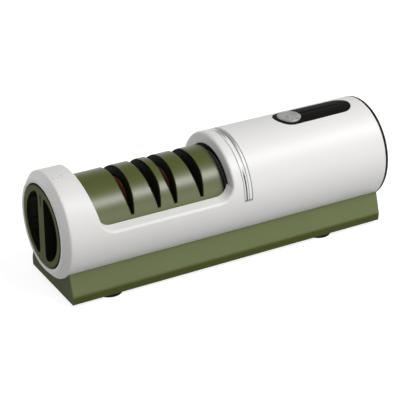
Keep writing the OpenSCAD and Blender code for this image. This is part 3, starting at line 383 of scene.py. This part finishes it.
def spun(piece, centre, axis, turn, steps):
    """Spins an outline's edge about an axis through a point in mm, and fills a part turn's ends."""
    open_up(piece)
    bpy.ops.mesh.delete(type="ONLY_FACE")
    bpy.ops.mesh.select_all(action="SELECT")
    bpy.ops.mesh.spin(steps=steps, angle=math.radians(turn), center=[c * MM for c in centre],
                      axis=axis)
    bpy.ops.object.mode_set(mode="OBJECT")
    if turn < 360:
        open_up(piece, "DESELECT")
        bpy.ops.mesh.select_non_manifold()
        bpy.ops.mesh.edge_face_add()
        bpy.ops.object.mode_set(mode="OBJECT")
    close_up(piece)
    return piece


def lathe(name, outline, start=0.0, turn=360.0, steps=192, step_mm=None):
    """Spins an outline of (radius, x) about the barrel's axis, from one clock angle through a turn.

    Long straight runs along the axis are cut into steps of step_mm."""
    points = []
    for (r0, x0), (r1, x1) in zip(outline, outline[1:] + outline[:1]):
        parts = 1
        if step_mm and r0 == r1:
            parts = max(1, round(abs(x1 - x0) / step_mm))
        points += [(x0 + (x1 - x0) * i / parts - HALF, r0 + (r1 - r0) * i / parts)
                   for i in range(parts)]
    a = math.radians(start)
    piece = wire(name, [(x, -r * math.sin(a), AXIS + r * math.cos(a)) for x, r in points])
    return spun(piece, (0, 0, AXIS), (-1, 0, 0), turn, steps)


def turned_up(name, outline, x, steps=96):
    """Spins an outline of (radius, height above the axis) about an upright line."""
    piece = wire(name, [(x - HALF + r, 0, AXIS + z) for r, z in outline])
    return spun(piece, (x - HALF, 0, AXIS), (0, 0, 1), 360.0, steps)


def drawn_up(name, plan, low, high):
    """Draws a closed outline, seen from above, up from one height in mm to another."""
    piece = wire(name, [(x, y, low) for x, y in plan])
    open_up(piece)
    bpy.ops.mesh.extrude_region_move(TRANSFORM_OT_translate={"value": (0, 0, (high - low) * MM)})
    bpy.ops.object.mode_set(mode="OBJECT")
    close_up(piece)
    return piece


def settled(name):
    """Names a new primitive, and puts its place, turn and scale into its mesh."""
    piece = bpy.context.object
    piece.name = piece.data.name = name
    bpy.ops.object.transform_apply(location=True, rotation=True, scale=True)
    return piece


def round_bar(name, start, end, radius, sides=64):
    """A round bar between two points, in mm from the knob end and from the barrel's axis."""
    a, b = (Vector((p[0] - HALF, p[1], p[2] + AXIS)) * MM for p in (start, end))
    bpy.ops.object.select_all(action="DESELECT")
    bpy.ops.mesh.primitive_cylinder_add(
        vertices=sides, radius=radius * MM, depth=(b - a).length, location=(a + b) / 2,
        rotation=(b - a).to_track_quat("Z", "Y").to_euler())
    return settled(name)


def block(name, centre, size, turn=0.0):
    """A block from its centre and size in mm, turned in radians about its own lengthwise axis."""
    bpy.ops.object.select_all(action="DESELECT")
    bpy.ops.mesh.primitive_cube_add(size=1, location=Vector(centre) * MM, rotation=(turn, 0, 0),
                                    scale=Vector(size) * MM)
    return settled(name)


def key_block(name, x0, x1, low, high, width, clock):
    """A block between two radii that stands across a clock angle."""
    x, y, z = at_clock((x0 + x1) / 2 - HALF, (low + high) / 2, clock)
    return block(name, (x, y, AXIS + z), (x1 - x0, width, high - low), math.radians(clock))


def combine(piece, tool, operation="DIFFERENCE"):
    """Cuts a tool out of a piece, or joins it on, and clears the tool away."""
    alone(piece)
    modifier = piece.modifiers.new("combine", "BOOLEAN")
    modifier.operation, modifier.solver, modifier.object = operation, "EXACT", tool
    bpy.ops.object.modifier_apply(modifier="combine")
    bpy.data.objects.remove(tool)


def soften(piece, width, segments=2, angle=30.0):
    """Rounds the edges of a piece that are sharper than an angle by a width in mm."""
    alone(piece)
    modifier = piece.modifiers.new("soften", "BEVEL")
    modifier.width, modifier.segments = width * MM, segments
    modifier.limit_method, modifier.angle_limit = "ANGLE", math.radians(angle)
    bpy.ops.object.modifier_apply(modifier="soften")
    return piece


def packed_copy(node):
    """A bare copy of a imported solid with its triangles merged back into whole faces."""
    double, flat_degrees = 0.002, 0.5
    alone(NODES[node])
    bpy.ops.object.duplicate()
    piece = bpy.context.object
    bpy.ops.object.parent_clear(type="CLEAR_KEEP_TRANSFORM")
    piece.name = piece.data.name = node + "_moulded"
    open_up(piece)
    bpy.ops.mesh.remove_doubles(threshold=double * MM)
    bpy.ops.mesh.dissolve_limited(angle_limit=math.radians(flat_degrees))
    bpy.ops.object.mode_set(mode="OBJECT")
    piece.data.materials.clear()
    return piece


def two_tone(piece, outside, inside, is_inside):
    """Gives a piece two materials, the second on faces whose x and radius pass a test."""
    piece.data.materials.clear()
    for material in (outside, inside):
        piece.data.materials.append(material)
    for face in piece.data.polygons:
        x, y, z = face.center / MM
        face.material_index = 1 if is_inside(x + HALF, math.hypot(y, z - AXIS)) else 0


def dress(piece, material, body, node, angle=32.0, even=True):
    """Seals a finished piece, gives it its material and shading, puts it on its body and hides the
    imported part it stands for.
    """
    double, sliver, hole_sides = 0.001, 0.004, 12
    close_up(piece, double)
    open_up(piece)
    bpy.ops.mesh.dissolve_degenerate(threshold=sliver * MM)
    bpy.ops.mesh.select_all(action="SELECT")
    bpy.ops.mesh.fill_holes(sides=hole_sides)
    bpy.ops.object.mode_set(mode="OBJECT")
    close_up(piece, double)
    bpy.ops.object.shade_smooth_by_angle(angle=math.radians(angle))
    if even:
        modifier = piece.modifiers.new("even", "WEIGHTED_NORMAL")
        modifier.keep_sharp = True
        bpy.ops.object.modifier_apply(modifier="even")
    if not piece.data.materials:
        piece.data.materials.append(material)
    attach(piece, body)
    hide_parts(node)


def flared_tool(name, outer, inner, flares):
    """A cutting tool whose side rounds over where it leaves a round surface.

    outer and inner are rings of points in mm from the axis, and flares the round-over at each
    outer point. The tool ends in a point above the surface and one on the axis."""
    stand_out, apex = 3.0, 200.0
    count = len(outer)
    outer, inner = [Vector(p) for p in outer], [Vector(p) for p in inner]
    middle = sum(outer, Vector()) / count
    ups = [Vector((0, p.y, p.z)).normalized() for p in outer]
    sides = [(outer[(i + 1) % count] - outer[i - 1]).cross(ups[i]).normalized()
             for i in range(count)]
    if sum(s.dot(p - middle) for s, p in zip(sides, outer)) < 0:
        sides = [-s for s in sides]
    rings = []
    for share in (0.08, 0.2, 0.35, 0.5, 0.65, 0.8, 1.0):
        ring = []
        for p, q, side, flare in zip(outer, inner, sides, flares):
            a, b = p + side * flare, p + (q - p).normalized() * flare
            ring.append(a * (1 - share) ** 2 + p * 2 * share * (1 - share) + b * share ** 2)
        if not rings:
            rings.append([p + up * stand_out for p, up in zip(ring, ups)])
        rings.append(ring)
    rings.append(inner)
    points = [p for ring in rings for p in ring]
    points += [Vector((middle.x, 0, apex)), Vector((middle.x, 0, 0))]
    low, pairs = (len(rings) - 1) * count, [(i, (i + 1) % count) for i in range(count)]
    faces = [(a + i, a + j, a + count + j, a + count + i)
             for a in range(0, low, count) for i, j in pairs]
    for i, j in pairs:
        faces += [(j, i, len(points) - 2), (low + i, low + j, len(points) - 1)]
    mesh = bpy.data.meshes.new(name)
    mesh.from_pydata([(p + Vector((0, 0, AXIS))) * MM for p in points], [], faces)
    tool = bpy.data.objects.new(name, mesh)
    bpy.context.collection.objects.link(tool)
    close_up(tool, 0.0001)
    return tool


# The barrel and its window

def height_at(rise):
    """The height on the barrel's outside that lies a rise above the tilted sill."""
    low, high, halvings = SILL_OUT - 0.5, BARREL_R, 50
    for _ in range(halvings):
        mid = (low + high) / 2
        y = math.sqrt(BARREL_R ** 2 - mid * mid)
        leant = (y - SILL_Y) * math.sin(SILL_TILT) + (mid - SILL_IN) * math.cos(SILL_TILT)
        if max(leant, mid - SILL_IN) < rise:
            low = mid
        else:
            high = mid
    return (low + high) / 2


def window_plan():
    """The window from the top of its near side to the top of its far side.

    Each point is its x, its rise above the sill, whether it is on the leaning side, and how
    far the wall rounds over there."""
    top, slope = BARREL_R - SILL_IN, math.tan(WINDOW_LEAN)
    low_x = WINDOW_X + top * slope
    tangent = CORNER_NEAR * (1 - math.sin(WINDOW_LEAN))
    near = Vector((low_x - slope * tangent + CORNER_NEAR * math.cos(WINDOW_LEAN), CORNER_NEAR))
    far = (WINDOW_END - CORNER_FAR, CORNER_FAR)
    side_steps, corner_steps, sill_steps = 30, 25, 40
    near_side = [(low_x - slope * rise, rise) for rise in steps_between(top, tangent, side_steps)]
    near_side += arc(near, CORNER_NEAR, math.pi + WINDOW_LEAN, 1.5 * math.pi, corner_steps)
    rest = [(x, 0) for x in steps_between(near.x, far[0], sill_steps)]
    rest += arc(far, CORNER_FAR, 1.5 * math.pi, 2 * math.pi, corner_steps)
    rest += [(WINDOW_END, rise) for rise in steps_between(CORNER_FAR, top, side_steps, last=True)]
    near_flare, rest_flare = 1.0, 1.5
    plan = [(x, rise, i <= side_steps, near_flare) for i, (x, rise) in enumerate(near_side)]
    return plan + [(x, rise, False, rest_flare) for x, rise in rest]


def window_rings():
    """The window's outline on the barrel, where its walls reach the bore, and their round-over.

    Its walls run level with the sill low down, and towards the axis higher up."""
    level_to, inward_from = 8, 22
    plan, slope = window_plan(), math.tan(WINDOW_LEAN)
    outer, inner, flares = [], [], []
    for front in (1, -1):
        for x, rise, leaning, flare in (plan if front > 0 else plan[-2:0:-1]):
            z = height_at(rise)
            y = -front * math.sqrt(max(0.0, BARREL_R ** 2 - z * z))
            t = min(1, max(0, (z - level_to) / (inward_from - level_to)))
            share = t * t * (3 - 2 * t)
            level = Vector((0, front * math.cos(SILL_TILT), math.sin(SILL_TILT)))
            way = (level * (1 - share) + Vector((0, -y, -z)) * share).normalized()
            start = Vector((0, y, z))
            along = start.dot(way)
            reach = math.sqrt(along * along - start.length_squared + (BORE_R - 1) ** 2)
            end = start + way * (-along - reach)
            outer.append((x - HALF, y, z))
            inner.append((x - HALF + (share * (z - end.z) * slope if leaning else 0),
                          end.y, end.z))
            flares.append(flare)
    return outer, inner, flares


def panel_plan(grow):
    """The panel's outline seen from above: two round ends and the tapered stretch between."""
    (near_x, near), (far_x, far) = PANEL_ENDS
    near, far = near + grow, far + grow
    lean = math.asin((near - far) / (far_x - near_x))
    quarter = math.pi / 2
    return (arc((near_x - HALF, 0), near, quarter - lean, 3 * quarter + lean, 32, last=True)
            + arc((far_x - HALF, 0), far, lean - quarter, quarter - lean, 32, last=True))


def make_barrel():
    """The shell is turned with its rim and bulkhead, then cut, and given the knob's lugs."""
    barrel = lathe("barrel_shell_moulded", [
        (BORE_R, 0.3), (BORE_R + 0.3, 0), (RIM_R - 0.5, 0), (RIM_R - 0.15, 0.1),
        (RIM_R + 0.25, 0.35), (BARREL_R - 0.45, RIM_CONE - 0.55), (BARREL_R - 0.12, RIM_CONE - 0.1),
        (BARREL_R, RIM_CONE + 0.6), (BARREL_R, SHELL_L - 0.3), (BARREL_R - 0.3, SHELL_L),
        (BAY_R, SHELL_L), (BAY_R, BAY_X), (SHAFT_HOLE_R, BAY_X), (SHAFT_HOLE_R, BULKHEAD),
        (BORE_R, BULKHEAD),
    ], step_mm=2.0)
    combine(barrel, flared_tool("window_tool", *window_rings()))

    bed, out = BARREL_R - RING_T - 0.05, BARREL_R + 1
    near, far = RING_X - 0.2, RING_X + RING_W + 0.2
    combine(barrel, lathe("ring_groove_tool", [(bed, near), (out, near), (out, far), (bed, far)],
                          start=-89.8, turn=179.6, steps=180))
    combine(barrel, drawn_up("panel_tool", panel_plan(PANEL_GAP), AXIS + PANEL_SEAT, AXIS + 40))

    bed = BARREL_R - MARK_DEPTH
    combine(barrel, key_block("tick_tool", *TICK_X, bed, out, TICK_W, MARK_CLOCK))
    dot = round_bar("dot_tool", at_clock(DOT_X, bed, MARK_CLOCK),
                    at_clock(DOT_X, out, MARK_CLOCK), DOT_R, 40)
    combine(dot, round_bar("dot_core", at_clock(DOT_X, BARREL_R - 1, MARK_CLOCK),
                           at_clock(DOT_X, BARREL_R + 2, MARK_CLOCK), DOT_IN, 40))
    combine(barrel, dot)

    for clock in PILOT_CLOCKS:
        combine(barrel, round_bar("pilot", at_clock(BULKHEAD - 1, PILOT_OUT, clock),
                                  at_clock(BAY_X + 1, PILOT_OUT, clock), PILOT_R, 24))
    for clock in LUG_CLOCKS:
        lug = key_block("lug", *LUG_X, BORE_R - LUG_TALL, BORE_R + 1, LUG_W, clock)
        combine(barrel, soften(lug, 0.3), "UNION")
    dress(barrel, SHELL, "housing", "barrel_shell")


# The ring, the panel and the button

def make_ring():
    """The light ring is a band with eased edges and two shallow flutes."""
    near, far = RING_X, RING_X + RING_W
    profile = [(BARREL_R - RING_T, near), (BARREL_R - 0.3, near), (BARREL_R - 0.08, near + 0.22)]
    for share in (0.34, 0.66):
        x = RING_X + RING_W * share
        profile += [(BARREL_R, x - 0.7), (BARREL_R - 0.12, x - 0.35), (BARREL_R - 0.2, x),
                    (BARREL_R - 0.12, x + 0.35), (BARREL_R, x + 0.7)]
    profile += [(BARREL_R - 0.08, far - 0.22), (BARREL_R - 0.3, far), (BARREL_R - RING_T, far)]
    ring = lathe("light_ring_moulded", profile, start=-89.2, turn=178.4, steps=160)
    dress(ring, RING, "housing", "light_ring", angle=50)


def make_panel():
    """The panel's face follows the barrel, with a narrow chamfer all round."""
    wall, chamfer, chamfer_drop, border, steps = 1.4, 0.35, 0.28, 0.25, (0.95,) * 8
    panel = wire("control_panel_moulded",
                 [(x, y, AXIS + BARREL_R - PANEL_T) for x, y in panel_plan(0)])
    count = len(panel.data.vertices)
    open_up(panel)
    bpy.ops.mesh.extrude_region_move(TRANSFORM_OT_translate={"value": (0, 0, wall * MM)})
    for width in (chamfer, border) + steps:
        bpy.ops.mesh.inset(thickness=width * MM, depth=0)
    bpy.ops.object.mode_set(mode="OBJECT")
    for i, vertex in enumerate(panel.data.vertices):
        if i >= count:
            level = math.sqrt(BARREL_R ** 2 - (vertex.co.y / MM) ** 2)
            vertex.co.z = (AXIS + level - (chamfer_drop if i < 2 * count else 0.0)) * MM
    close_up(panel)
    combine(panel, round_bar("button_hole", (BUTTON_X, 0, BARREL_R - 10),
                             (BUTTON_X, 0, BARREL_R + 10), BUTTON_R + 0.3, 96))
    dress(panel, PANEL, "housing", "control_panel", angle=25, even=False)


def make_button():
    """A dished cap with a flange, a hollow underside and a post for the switch.

    The usual sign for power is cut into its face."""
    top, (flange_low, flange_top) = BUTTON_TOP, BUTTON_FLANGE
    hollow_r, hollow_top, post_r, post_low = 5.6, top - 1.8, 1.7, 26.7
    button = turned_up("power_button_turned", [
        (0, top - 0.2), (5.2, top - 0.2), (5.34, top - 0.14), (5.48, top - 0.02), (5.6, top),
        (6.35, top), (6.62, top - 0.06), (6.8, top - 0.2), (BUTTON_R, top - 0.42),
        (BUTTON_R, flange_top), (BUTTON_FLANGE_R, flange_top), (BUTTON_FLANGE_R, flange_low),
        (hollow_r, flange_low), (hollow_r, hollow_top), (post_r, hollow_top), (post_r, post_low),
        (0, post_low),
    ], BUTTON_X)
    sign_low, sign_in, sign_out = top - 0.32, 2.0, 2.5
    arch = turned_up("sign_arc", [(sign_in, sign_low), (sign_out, sign_low),
                                  (sign_out, top + 1), (sign_in, top + 1)], BUTTON_X, 48)
    combine(arch, sign_bar("sign_gap", 1.5, 0.6, 4.0))
    combine(button, arch)
    combine(button, sign_bar("sign_stroke", 0.5, 0.9, 3.1))
    dress(button, BUTTON, "button", "power_button")


def sign_bar(name, width, start, end):
    """A bar across the button's face, from one distance to another towards the far end."""
    return block(name, (BUTTON_X - HALF + (start + end) / 2, 0, AXIS + BUTTON_TOP + 0.18),
                 (end - start, width, 1.0))


# The drum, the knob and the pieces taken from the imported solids

def slot_ring(radius, x, side):
    """Where one slot's walls meet a radius of the drum, all the way round."""
    lean = math.tan(math.radians(SLOT_LEAN))

    def wall(z, beyond):
        if beyond:
            return SLOT_HALF + (z - SLOT_TIP_Z) * lean
        return -SLOT_HALF - SLOT_RUN * min(1, (z - SLOT_TIP_Z) / (SLOT_BEND - SLOT_TIP_Z))

    reach = math.acos(SLOT_TIP_Z / radius)
    ring = []
    for beyond, start, end in ((True, reach, -reach), (False, -reach, reach)):
        for a in steps_between(start, end, 48, last=True):
            z = radius * math.cos(a)
            ring.append((x - HALF + side * wall(z, beyond), -radius * math.sin(a), z))
    return ring


def make_drum():
    """The upper half of the drum: its wall, end walls and screw bosses, and four flared slots."""
    slot_reach, slot_flare = DRUM_IN - 0.9, 0.4
    shoulder_r = DRUM_R - DRUM_IN
    shoulder = arc((DRUM_IN, DRUM_END - shoulder_r), shoulder_r, 0, math.pi / 2, 10)
    (mid_near, mid_far), (pocket, pocket_end) = MID_WALL, FAR_WALL
    drum = lathe("drum_upper_moulded", [
        (SCREW_HOLE_R, DRUM_X), (DRUM_R - 0.4, DRUM_X), (DRUM_R - 0.12, DRUM_X + 0.12),
        (DRUM_R, DRUM_X + 0.4), *shoulder, (DRUM_IN, DRUM_END), (SPINDLE_HOLE_R, DRUM_END),
        (SPINDLE_HOLE_R, pocket_end), (BUSH_R, pocket_end), (BUSH_R, pocket), (DRUM_IN, pocket),
        (DRUM_IN, mid_far), (BUSH_R, mid_far), (BUSH_R, mid_near), (DRUM_IN, mid_near),
        (DRUM_IN, NEAR_WALL_END), (SCREW_HOLE_R, NEAR_WALL_END),
    ], start=-89.95, turn=179.9, steps=120, step_mm=1.5)
    for y in (-BOSS_Y, BOSS_Y):
        boss = round_bar("drum_boss", *((BOSS_X, y, z) for z in BOSS_Z), BOSS_R, 40)
        combine(drum, boss, "UNION")
    for i, x in enumerate(SLOTS):
        side = 1 if i % 2 == 0 else -1
        outer, inner = slot_ring(DRUM_R, x, side), slot_ring(slot_reach, x, side)
        combine(drum, flared_tool("slot_tool", outer, inner, [slot_flare] * len(outer)))
    # The slots' walls are black, up to where they round over
    two_tone(drum, OLIVE, LINING_AND_SHADE,
             lambda x, r: mid_far + 0.05 < x < pocket and r < DRUM_R - slot_flare - 0.05)
    dress(drum, OLIVE, "cartridge", "drum_upper")


def make_lining():
    """The slot linings stop short of the drum's crest, so each slot leaves a dip there."""
    lining = packed_copy("slot_guides")
    combine(lining, key_block("crest_tool", 30, 101, LINING_TOP, 30, 60, 0))
    dress(lining, LINING_AND_SHADE, "cartridge", "slot_guides")


def make_knob():
    """The knob gets a step round it and an arrow's tail, and its finger recesses are black, as
    painted shade.
    """
    knob = packed_copy("knob")
    combine(knob, lathe("gap_tool", [(STEP_R, -1), (24.5, -1), (24.5, STEP_DEPTH),
                                     (STEP_R, STEP_DEPTH)]))
    for width, start, end in ARROW_TAIL:
        combine(knob, key_block("arrow_tail", -1, 0.5, start, end, width, 0))
    soften(knob, 0.2, angle=40)
    # Painted shade: inside the eased edges the recesses are black, and so is the step
    two_tone(knob, KNOB, LINING_AND_SHADE, lambda x, r: (0.32 < x < 10 and r < RECESS_R
                                               or 0.25 < x < 0.8 and r > STEP_R - 0.05))
    dress(knob, KNOB, "knob", "knob")


def make_end_cap():
    """The end cap's outer edge is rounded over most of its thickness."""
    cap = packed_copy("end_cap")
    r, x = BARREL_R - CAP_EDGE, CAP_EDGE_X
    edge = arc((r, x), CAP_EDGE, 0, math.pi / 2, 12)
    combine(cap, lathe("cap_edge_tool", edge + [(r, x + CAP_EDGE), (r, x + 3), (r + 3, x + 3),
                                                (r + 3, x)]))
    dress(cap, BLACK, "housing", "end_cap")


def make_softened(node, width, body):
    """A part as it comes from its mould, with its sharp edges eased."""
    dress(soften(packed_copy(node), width, segments=3, angle=40), FINISH[node], body, node)


make_barrel()
make_ring()
make_panel()
make_button()
make_drum()
make_lining()
make_knob()
make_softened("drum_lower", 0.25, "cartridge")
make_softened("plinth", 0.4, "housing")
make_softened("bottom_plate", 0.3, "housing")
make_softened("feet", 0.35, "housing")
make_end_cap()


# Camera, floor and light

CAMERA_PLACE, CAMERA_DIP, CAMERA_TURN = (-0.391152, -0.684049, 0.433022), 27.434, 29.739
LENS_MM, SENSOR_MM = 135.53, 36
# Each lamp's direction from the object, distance, width and height in metres, and watts
SOFTBOXES = {
    "key_softbox": ((0.44, -0.506, 0.742), 1.2, (1.0, 0.25), 10.0),
    "left_softbox": ((-0.42, -0.25, 0.9), 1.2, (0.9, 0.9), 1.8),
    "front_softbox": ((0.3, -1.0, 0.22), 1.2, (1.2, 0.5), 2.0),
    "back_softbox": ((-0.75, 1.0, 0.22), 1.3, (0.8, 0.5), 3),
}
LIT_CENTRE = Vector((0, 0, 0.035))

bpy.ops.object.camera_add(location=CAMERA_PLACE,
                          rotation=(math.radians(90 - CAMERA_DIP), 0, math.radians(-CAMERA_TURN)))
camera = bpy.context.object
camera.data.lens, camera.data.sensor_width = LENS_MM, SENSOR_MM
camera.data.sensor_fit = "HORIZONTAL"
camera.data.clip_start, camera.data.clip_end = 0.01, 20
bpy.context.scene.camera = camera

for name, (direction, distance, size, power) in SOFTBOXES.items():
    place = LIT_CENTRE + Vector(direction).normalized() * distance
    bpy.ops.object.light_add(type="AREA", location=place,
                             rotation=(place - LIT_CENTRE).to_track_quat("Z", "Y").to_euler())
    lamp = bpy.context.object
    lamp.name = name
    lamp.data.shape, lamp.data.size, lamp.data.size_y = "RECTANGLE", *size
    lamp.data.energy = power


def rays_seen(tree):
    """The light path, and 1 on rays from the camera, off gloss or through something clear."""
    path = add_node(tree, "LightPath")
    seen = add_node(tree, "Math", [(0, path.outputs["Is Camera Ray"]),
                                   (1, path.outputs["Is Glossy Ray"])], operation="MAXIMUM")
    clear = add_node(tree, "Math", [(0, seen.outputs[0]), (1, path.outputs["Is Transmission Ray"])],
                     operation="MAXIMUM")
    return path, clear.outputs[0]


# The studio is white where it is seen, lights the object faintly, and in mirrored rays
# darkens from the horizon up
world = bpy.data.worlds.new("studio")
bpy.context.scene.world = world
world.use_nodes = True
sky = world.node_tree
sky.nodes.clear()
path, clear = rays_seen(sky)
strength = add_node(sky, "MapRange", [("Value", clear)], To_Min=0.23, To_Max=1.0)
way = add_node(sky, "SeparateXYZ", [("Vector", add_node(sky, "TexCoord").outputs["Generated"])])
dimmed = add_node(sky, "MapRange", [("Value", way.outputs["Z"])], interpolation_type="SMOOTHSTEP",
                  From_Min=0.05, From_Max=0.7, To_Min=0.8, To_Max=0.08)
mirrored = add_node(sky, "Math", [(0, clear), (1, path.outputs["Is Camera Ray"])],
                    operation="SUBTRACT")
ceiling = add_node(sky, "Mix", [("Factor", mirrored.outputs[0]), ("B", dimmed.outputs["Result"])],
                   data_type="FLOAT", A=1.0)
level = add_node(sky, "Math", [(0, strength.outputs["Result"]), (1, ceiling.outputs["Result"])],
                 operation="MULTIPLY")
back = add_node(sky, "Background", [("Strength", level.outputs[0])], Color=hue("FFFFFF"))
add_node(sky, "OutputWorld", [("Surface", back.outputs[0])])

# The floor is pale card that takes the shadow, lifted to white where it is seen
bpy.ops.mesh.primitive_plane_add(size=6, location=(0, 0, 0))
floor = bpy.context.object
floor.name = "studio_floor"
sweep = bpy.data.materials.new("floor_white_card")
sweep.use_nodes = True
paper = sweep.node_tree
paper.nodes.clear()
card = add_node(paper, "BsdfDiffuse", Color=hue("AEAEAE"))
lift = add_node(paper, "Emission", [("Strength", rays_seen(paper)[1])], Color=hue("EBEBEB"))
both = add_node(paper, "AddShader", [(0, card.outputs[0]), (1, lift.outputs[0])])
add_node(paper, "OutputMaterial", [("Surface", both.outputs[0])])
floor.data.materials.append(sweep)

bpy.context.scene.view_settings.view_transform = "Standard"
